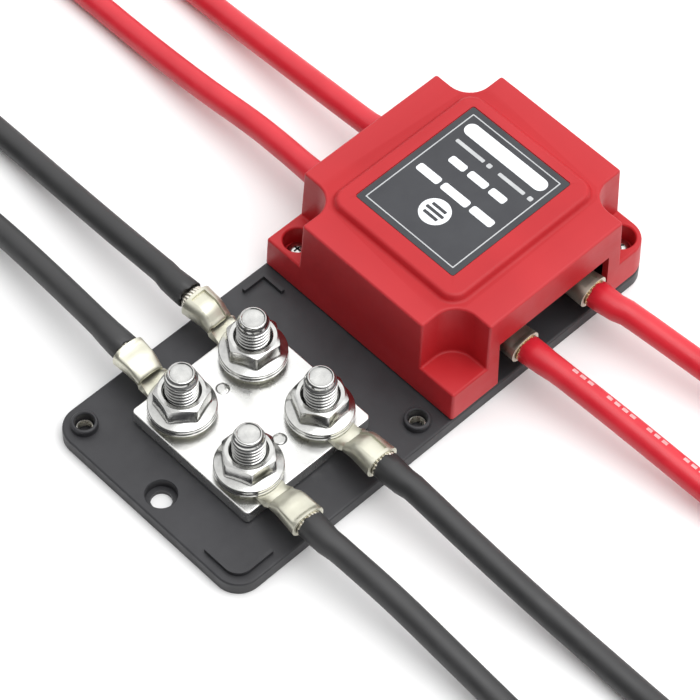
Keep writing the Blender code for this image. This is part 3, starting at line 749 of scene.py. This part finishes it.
# The dish in a stud's end: how far each step goes inward and down, in millimetres
DISH_STEPS = ((0.30, -0.18), (0.15, 0.0), (0.30, 0.30), (1.2, -0.12), (0.9, 0.16))


def threaded_rod(name, radius, pitch, depth, low, high, tip, bevel, sides=56, dish=True):
    """A rod with a real helical thread from low to high, its grooves darkened with painted shade, and a
    chamfered end.
    """
    per_turn = 8
    profile = (0.0, 0.0, 1 / 3, 2 / 3, 1.0, 1.0, 2 / 3, 1 / 3)
    levels = int((high - low) / pitch * per_turn) + 2 * per_turn
    model = bmesh.new()
    columns = []
    for side in range(sides):
        angle = 2 * math.pi * side / sides
        column = []
        for level in range(-per_turn, levels + per_turn):
            height = low + (level / per_turn + side / sides) * pitch
            height = min(max(height, low), high)
            reach = radius - depth * profile[level % per_turn]
            reach = min(reach, tip + (high - height) * (radius - tip) / bevel)
            if height <= low:
                reach = radius - depth
            column.append(model.verts.new((reach * math.cos(angle), reach * math.sin(angle), height)))
        columns.append(column)
    for side in range(sides):
        left = columns[side]
        wrap = side == sides - 1
        right = columns[0][per_turn:] if wrap else columns[side + 1]
        for level in range(min(len(left), len(right)) - 1):
            face = model.faces.new((left[level], right[level], right[level + 1], left[level + 1]))
            # Faces in the thread's root take the second material: painted shade in the grooves.
            face.material_index = int(level % per_turn in (2, 3, 4, 5))
    bmesh.ops.remove_doubles(model, verts=model.verts, dist=1e-7)
    bmesh.ops.dissolve_degenerate(model, edges=model.edges, dist=1e-7)
    boundary = [edge for edge in model.edges if edge.is_boundary]
    bmesh.ops.holes_fill(model, edges=boundary, sides=0)
    if dish:
        model.faces.ensure_lookup_table()
        end = max(model.faces, key=lambda face: face.calc_center_median().z * (len(face.verts) > 8))
        end.material_index = 0
        for inset, sink in in_mm(*DISH_STEPS):
            bmesh.ops.inset_region(model, faces=[end], thickness=inset)
            for vert in end.verts:
                vert.co.z -= sink
    return finish_mesh(name, model, 42)


def hexagon_reach(degrees, flat_radius):
    from_flat = (degrees % 60) - 30
    return min(flat_radius / math.cos(math.radians(from_flat)), flat_radius * 1.134)


def flange_nut_mesh():
    """A flange nut, flange underside at zero: crisp chamfer curves come from rings that aren't level."""
    flat_radius, height, flange, top_radius, bore = 7.5, 8.0, 10.35, 7.05, 5.15
    degrees = [5 * step for step in range(72)]
    chamfer = math.tan(math.radians(30))

    def ring(pair_at):
        made = []
        for angle in degrees:
            reach, level = pair_at(angle)
            a = math.radians(angle)
            made.append(Vector((reach * math.cos(a), reach * math.sin(a), level)) * MM)
        return made

    def level_ring(reach, level):
        return ring(lambda angle: (reach, level))

    def flank(angle):
        return hexagon_reach(angle, flat_radius)

    def slope(angle):
        return (flange - 0.75 - flank(angle)) * 0.42

    rings = [
        level_ring(bore + 0.35, 0.0), level_ring(flange - 0.25, 0.0), level_ring(flange, 0.22),
        level_ring(flange, 0.95), level_ring(flange - 0.10, 1.12), level_ring(flange - 0.3, 1.24),
        ring(lambda angle: (flank(angle) + 0.45, 1.24 + slope(angle))),
        ring(lambda angle: (flank(angle) + 0.10, 1.50 + slope(angle))),
        ring(lambda angle: (flank(angle), 1.80 + slope(angle))),
        ring(lambda angle: (flank(angle), height - (flank(angle) - top_radius) * chamfer - 0.12)),
        ring(lambda angle: (flank(angle) - 0.10, height - (flank(angle) - 0.1 - top_radius) * chamfer)),
        level_ring(top_radius, height), level_ring(5.95, height), level_ring(5.85, height - 0.06),
        level_ring(bore, height - 0.75), level_ring(bore, 0.35),
    ]
    return loft_mesh("flange_nut", rings, closed=True, angle=30)


def add_fasteners(finishes):
    steel = finishes["bright_steel"]
    stud_low, stud_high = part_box("negative_stud_1")
    washer_low, washer_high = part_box("negative_washer_1")
    nut_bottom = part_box("negative_nut_1")[0].z
    thread_start = BAR_TOP + 0.3 * MM
    stud = threaded_rod("stud_thread", 5.0 * MM, 1.5 * MM, 0.85 * MM, thread_start, stud_high.z, 4.0 * MM,
                        2.4 * MM)
    stud.materials.append(steel)
    # The second material paints shade into the stud's thread grooves.
    stud.materials.append(finishes["thread_painted_shade"])
    head_radius, shank_radius = 8.0 * MM, 4.9 * MM
    profile = [(head_radius - 0.4 * MM, stud_low.z), (head_radius, stud_low.z + 0.4 * MM),
               (head_radius, PLATE_TOP), (shank_radius, PLATE_TOP), (shank_radius, thread_start + 0.2 * MM)]
    shank = turned_mesh("stud_shank", profile, 48)
    thick = washer_high.z - washer_low.z
    inner, outer, edge = 5.25 * MM, 10.4 * MM, 0.18 * MM
    profile = [(inner, edge), (inner + edge, 0.0), (outer - edge, 0.0), (outer, edge), (outer, thick - edge),
               (outer - edge, thick), (inner + edge, thick), (inner, thick - edge)]
    washer = turned_mesh("washer", profile, 96, hollow=True)
    nut = flange_nut_mesh()
    for lead in LEAD_NAMES:
        x, y = STUDS[lead]
        spin = math.radians(NUT_TURNS[lead] * 3.7)
        add_piece(node_name(lead, "threaded_stud"), stud, steel, "root", node_name(lead, "stud"), "steel",
                  (x, y, STUD_RISES.get(lead, 0.0)), spin)
        add_piece(node_name(lead, "stud_head"), shank, steel, "root", slot="steel", place=(x, y, 0.0),
                  turn=spin)
        add_piece(node_name(lead, "flat_washer"), washer, steel, node_name(lead, "washer"),
                  node_name(lead, "washer"), "steel", (x, y, washer_low.z), spin)
        add_piece(node_name(lead, "flange_nut"), nut, steel, node_name(lead, "nut"), node_name(lead, "nut"),
                  "steel", (x, y, nut_bottom), math.radians(NUT_TURNS[lead]))


def cross_recess(top, arm, width, depth):
    """A tapered cross for a screw's head."""
    sections = ((0.35 * arm, width * 0.45, top - depth), (arm, width, top + 0.5 * MM))
    arms = []
    for turned in (False, True):
        rings = []
        for reach, wide, height in sections:
            corners = [(-reach, -wide / 2), (reach, -wide / 2), (reach, wide / 2), (-reach, wide / 2)]
            rings.append([(y, -x, height) if turned else (x, y, height) for x, y in corners])
        arms.append(loft_mesh("arm", rings))
    return carved("cross", arms[0], [("UNION", arms[1])])


def pan_head_mesh():
    low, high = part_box("cover_screw_1")
    radius, dome = 3.3 * MM, 1.3 * MM
    head = high.z - 2.5 * MM
    brim = head + 1.2 * MM
    profile = [(1.5 * MM, low.z), (2.0 * MM, low.z + 0.5 * MM), (2.0 * MM, head), (radius - 0.15 * MM, head),
               (radius, head + 0.15 * MM), (radius, brim)]
    for step in range(1, 7):
        angle = math.radians(15 * step)
        profile.append((radius * math.cos(angle) * 0.98 + 0.02 * MM, brim + dome * math.sin(angle)))
    recess = cross_recess(high.z, 1.75 * MM, 0.75 * MM, 1.4 * MM)
    return carved("pan_head", turned_mesh("pan_head", profile, 48, angle=50), [("DIFFERENCE", recess)], 40)


def add_small_hardware(finishes):
    steel = finishes["bright_steel"]
    screw = pan_head_mesh()
    for number in (1, 2):
        node = f"cover_screw_{number}"
        add_piece(f"{node}_pan_head", screw, steel, node, node, "steel", (*middle(node).xy, 0.0),
                  math.radians(20 + 35 * number))
    low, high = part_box("threaded_insert_1")
    profile = [(2.62 * MM, low.z), (2.62 * MM, high.z - 0.2 * MM), (2.45 * MM, high.z)]
    threads = 4
    pitch = (high.z - low.z) / threads
    for thread in range(threads + 1):
        height = high.z - pitch * thread
        profile.append((2.2 * MM, height - 0.001 * MM))
        if thread < threads:
            profile.append((2.05 * MM, height - pitch / 2))
    insert = turned_mesh("insert", profile, 40, hollow=True)
    for number in (1, 2, 3, 4):
        node = f"threaded_insert_{number}"
        add_piece(f"{node}_ring", insert, finishes["insert_metal"], "root", node, "insert_metal",
                  (*middle(node).xy, 0.0))
    tip = threaded_rod("fixing_tip", 2.0 * MM, 0.7 * MM, 0.3 * MM, 4.0 * MM, BAR_TOP - 0.03 * MM, 1.65 * MM,
                       0.15 * MM, 32, False)
    head_profile = in_mm((3.8, 0.15), (3.9, 0.4), (1.95, 2.3), (1.95, 4.2))
    recess = flipped(cross_recess(0.0, 1.9 * MM, 0.8 * MM, 1.5 * MM), 0.15 * MM)
    head = carved("fixing_head", turned_mesh("fixing_head", head_profile, 40), [("DIFFERENCE", recess)], 40)
    tip.materials.append(steel)
    # The second material paints shade into the screw tip's thread grooves.
    tip.materials.append(finishes["thread_painted_shade"])
    for name, (x, y) in fixing_places().items():
        add_piece(f"{name}_tip", tip, steel, "root", slot="steel", place=(x, y, 0.0), turn=x * 40 + y * 90)
        add_piece(f"{name}_head", head, steel, "root", slot="steel", place=(x, y, 0.0))


def flipped(mesh, height):
    """The same shape upside down, about this height."""
    mesh.transform(Matrix.Translation((0.0, 0.0, height)) @ Matrix.Rotation(math.pi, 4, "X"))
    return mesh


def fixing_places():
    places = {}
    for half in ("negative", "positive"):
        center = middle(f"{half}_bus_bar").xy
        for number, side in ((1, 1), (2, -1)):
            places[f"{half}_fixing_screw_{number}"] = (center.x, center.y + side * 12.2 * MM)
    return places


# ------------------------ plate and bars


def boss_places():
    return [middle(f"threaded_insert_{number}").xy for number in (1, 2, 3, 4)]


def rib_outlines():
    """The two L-shaped ribs of the negative half: the square one, then the one with a round corner."""
    inset, thick, arm, outer = 3.0 * MM, 1.2 * MM, 9.0 * MM, 5.0 * MM
    x, y = -inset, PLATE_HIGH.y - inset
    square = [(x, y), (x - arm, y), (x - arm, y - thick), (x - thick, y - thick), (x - thick, y - arm),
              (x, y - arm)]
    x, y = PLATE_LOW.x + inset, PLATE_LOW.y + inset
    center, reach = (x + outer, y + outer), outer + arm
    rounded = [(x, y + reach), *arc(center, outer, 180, 270, 10), (x + reach, y), (x + reach, y + thick),
               *arc(center, outer - thick, 270, 180, 10), (x + thick, y + reach)]
    return [square, rounded]


def add_plate(finishes):
    levels = [(0.3 * MM, 0.0), (0.0, 0.3 * MM), *rounded_levels(0.0, PLATE_TOP, 0.7 * MM, bottom=False)]
    mesh = loft_mesh("plate", box_rings(PLATE_LOW.xy, PLATE_HIGH.xy, [8 * MM] * 4, levels, 12))
    raised = bmesh.new()
    boss, bore, boss_top, rib_top, sunk = 4.1 * MM, 2.95 * MM, 7.35 * MM, 6.5 * MM, PLATE_TOP - 1 * MM
    for place in boss_places():
        crown = [(boss - 0.7 * MM * (1 - math.cos(a)), boss_top - 0.7 * MM * (1 - math.sin(a)))
                 for a in (math.pi / 2 * step / 5 for step in range(6))]
        add_turned(raised, [(boss, sunk), *crown], 48, place)
    for outline in rib_outlines():
        for sign in (1, -1):
            turned = [(sign * x, sign * y) for x, y in outline]
            add_loft(raised, [at_height(turned, sunk), at_height(turned, rib_top)])
    holes = bmesh.new()
    for place in boss_places():
        add_turned(holes, [(bore, 1.2 * MM), (bore, boss_top - 0.3 * MM),
                           (bore + 0.5 * MM, boss_top + 0.2 * MM)], 48, place)
    for lead in LEAD_NAMES:
        add_turned(holes, in_mm((8.3, 1.8), (8.3, 6)), 40, STUDS[lead])
    for sign in (-1, 1):
        place = (sign * (PLATE_HIGH.x - 7.34 * MM), 0.0)
        add_turned(holes, in_mm((3.25, -1), (3.25, 1.7), (4.8, 1.7), (4.8, 4.8), (5.1, 5.1)), 48, place)
    for place in fixing_places().values():
        add_turned(holes, in_mm((4.2, -1), (4.2, 0.4), (2.2, 2.4), (2.2, 6)), 40, place)
    mesh = carved("plate", mesh, [("UNION", finish_mesh("raised", raised)),
                                  ("DIFFERENCE", finish_mesh("holes", holes))], 8)
    add_piece("moulded_plate", mesh, finishes["charcoal_plastic"], "root", "base_plate", "black_plastic",
              even=True)


def add_bars(finishes):
    for half in ("negative", "positive"):
        low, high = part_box(f"{half}_bus_bar")
        rings = box_rings(low.xy, high.xy, [1.5 * MM] * 4, rounded_levels(low.z, high.z, 0.35 * MM))
        holes = bmesh.new()
        places = [(STUDS[lead], 5.3 * MM) for lead in LEAD_NAMES if lead.startswith(half)]
        places += [(place, 2.05 * MM) for name, place in fixing_places().items() if name.startswith(half)]
        for place, radius in places:
            add_turned(holes, [(radius, 4 * MM), (radius, high.z - 0.15 * MM),
                               (radius + 0.3 * MM, high.z + 0.15 * MM)], 48, place)
        mesh = carved("bar", loft_mesh("bar", rings), [("DIFFERENCE", finish_mesh("holes", holes))], 30)
        add_piece(f"{half}_plated_bar", mesh, finishes["bar_plating"], "root", f"{half}_bus_bar",
                  "bar_plating", even=True)


# ------------------------ cover and label

TAB_TOP = 17.4 * MM
SHOULDER = 37.2 * MM
DRAFT = 1.0 * MM
NOTCH = 14.0 * MM
WALL = 2.2 * MM
CEILING = 2.5 * MM
PRINT_HEIGHT = 0.03 * MM


def drafted(height):
    return DRAFT * (height - COVER_LOW.z) / (SHOULDER - COVER_LOW.z)


def notch_span(low, high, inset, at_high):
    """From where to where a notch reaches along one axis, with some room outside the cover."""
    beyond = 10 * MM
    if at_high:
        return high - NOTCH - inset, high + beyond
    return low - beyond, low + NOTCH + inset


def notch_blocks(grow, low, steps):
    """Blocks that fill the four corner notches, each with a filleted inner corner."""
    model = bmesh.new()
    for fillet, (high_x, high_y) in enumerate(((True, True), (False, True), (False, False), (True, False))):
        rings = []
        for height in (low, SHOULDER + 4 * MM):
            inset = drafted(height) + grow
            spans = (notch_span(COVER_LOW.x, COVER_HIGH.x, inset, high_x),
                     notch_span(COVER_LOW.y, COVER_HIGH.y, inset, high_y))
            radii = [8 * MM if corner == fillet else 0.5 * MM for corner in range(4)]
            rings.append(at_height(rounded_rectangle(*zip(*spans), radii, steps), height))
        add_loft(model, rings)
    return finish_mesh("notches", model)


def cover_block(inset, low, high, steps):
    rings = []
    radii = [1.2 * MM, 8 * MM, 8 * MM, 1.2 * MM]
    for height in (low, high):
        rings += box_rings(COVER_LOW.xy, COVER_HIGH.xy, radii, [(inset + drafted(height), height)], steps)
    return loft_mesh("block", rings)


def add_cover(finishes):
    low, high = in_mm((12.0, -27.0), (73.8, 27.0))
    plateau_levels = [(0.0, SHOULDER - 1 * MM), (0.0, SHOULDER), (1.3 * MM, COVER_HIGH.z)]
    plateau = loft_mesh("plateau", box_rings(low, high, [6 * MM] * 4, plateau_levels, 10))
    shell = carved("shell", cover_block(0.0, COVER_LOW.z, SHOULDER, 10),
                   [("DIFFERENCE", notch_blocks(0.0, TAB_TOP, 10)), ("UNION", plateau),
                    ("BEVEL", (0.8 * MM, 4, 25))], 35)
    cavity = carved("cavity", cover_block(WALL, COVER_LOW.z - 1 * MM, SHOULDER - CEILING, 8),
                    [("DIFFERENCE", notch_blocks(WALL, TAB_TOP - CEILING, 8))])
    posts, openings = bmesh.new(), bmesh.new()
    post_bottom, floor = 7.65 * MM, 10.2 * MM
    for number in (1, 2):
        place = middle(f"cover_screw_{number}").xy
        add_turned(posts, [(6 * MM, post_bottom), (6 * MM, TAB_TOP - 1 * MM)], 48, place)
        add_turned(openings, [(2.3 * MM, 4 * MM), (2.3 * MM, floor), (4.5 * MM, floor),
                              (4.5 * MM, TAB_TOP - 0.45 * MM), (4.65 * MM, TAB_TOP - 0.2 * MM),
                              (5.1 * MM, TAB_TOP + 0.1 * MM)], 64, place)
    mouth = [(0.0, 4 * MM), (0.0, 25 * MM)]
    add_loft(openings, box_rings((19.5 * MM, -45 * MM), (66 * MM, 45 * MM), [0.3 * MM] * 4, mouth, 1))
    edge = 0.25 * MM
    low = (LABEL_LOW.x - edge, LABEL_LOW.y - edge)
    high = (LABEL_HIGH.x + edge, LABEL_HIGH.y + edge)
    recess = [(0.0, LABEL_LOW.z - 0.1 * MM), (0.0, COVER_HIGH.z + 1 * MM)]
    add_loft(openings, box_rings(low, high, [1 * MM] * 4, recess, 4))
    mesh = carved("cover", shell, [("DIFFERENCE", cavity), ("UNION", finish_mesh("posts", posts)),
                                   ("DIFFERENCE", finish_mesh("openings", openings))], 28)
    add_piece("moulded_cover", mesh, finishes["red_cover_plastic"], "cover", "positive_cover", "red_plastic",
              even=True)


def add_print(name, outlines, material, top):
    """Thin raised print on the label: one closed shape for each outline."""
    model = bmesh.new()
    for outline in outlines:
        add_loft(model, [at_height(outline, top - 0.02 * MM), at_height(outline, top + PRINT_HEIGHT)])
    add_piece(name, finish_mesh(name, model), material, "cover", slot="label_print")


def label_bar(x, y, wide, long, radius=None):
    """A bar with rounded corners, in millimetres; its y counts from the label's middle."""
    y += middle("cover_label").y / MM
    ends = in_mm((x - wide / 2, y - long / 2), (x + wide / 2, y + long / 2))
    return rounded_rectangle(*ends, [(radius or min(wide, long) * 0.3) * MM] * 4, 6)


def add_label(finishes):
    film, white, grey = finishes["label_film"], finishes["label_white"], finishes["label_grey"]
    top = LABEL_HIGH.z - 2 * PRINT_HEIGHT
    raised = top + PRINT_HEIGHT
    rings = box_rings(LABEL_LOW.xy, LABEL_HIGH.xy, [0.7 * MM] * 4, [(0.0, LABEL_LOW.z), (0.0, top)], 4)
    add_piece("label_film", loft_mesh("label", rings), film, "cover", "cover_label", "label_print")
    inset, line = 2.0 * MM, 0.38 * MM
    levels = [(inset, top), (inset, raised), (inset + line, raised), (inset + line, top)]
    rings = box_rings(LABEL_LOW.xy, LABEL_HIGH.xy, [1.6 * MM] * 4, levels, 4)
    add_piece("label_border", loft_mesh("border", rings, closed=True), grey, "cover", slot="label_print")
    add_print("label_write_in", [label_bar(62.0, 0.0, 5.0, 33.0, 2.4)], white, top)
    emblem_x = 32.1
    disc = arc((emblem_x * MM, middle("cover_label").y), 5.0 * MM, 0, 354, 59)
    add_print("label_emblem", [disc], white, top)
    mark = [label_bar(emblem_x + x, 0.0, 1.1, long) for x, long in ((-1.9, 5.6), (0.0, 7.0), (1.9, 5.6))]
    add_print("label_emblem_mark", mark, film, raised)
    words = ((40.9, -10.8, 3.0, 8.8), (40.9, 0.2, 3.0, 10.8), (40.9, 11.3, 3.0, 9.0),
             (49.8, -8.6, 2.8, 6.2), (49.8, -0.4, 2.8, 7.4), (49.8, 8.0, 2.8, 6.4))
    add_print("label_word_bars", [label_bar(*word) for word in words], white, top)
    small = ((56.0, -15.9, 1.7, 1.7), (56.0, -8.2, 1.3, 10.6), (56.0, 1.0, 1.7, 1.7), (56.0, 9.0, 1.3, 11.6))
    add_print("label_small_bars", [label_bar(*bar) for bar in small], grey, top)


# ------------------------ the object

add_camera()
FINISHES = make_finishes()
add_leads(FINISHES)
add_fasteners(FINISHES)
add_small_hardware(FINISHES)
add_plate(FINISHES)
add_bars(FINISHES)
add_cover(FINISHES)
add_label(FINISHES)
add_stage()
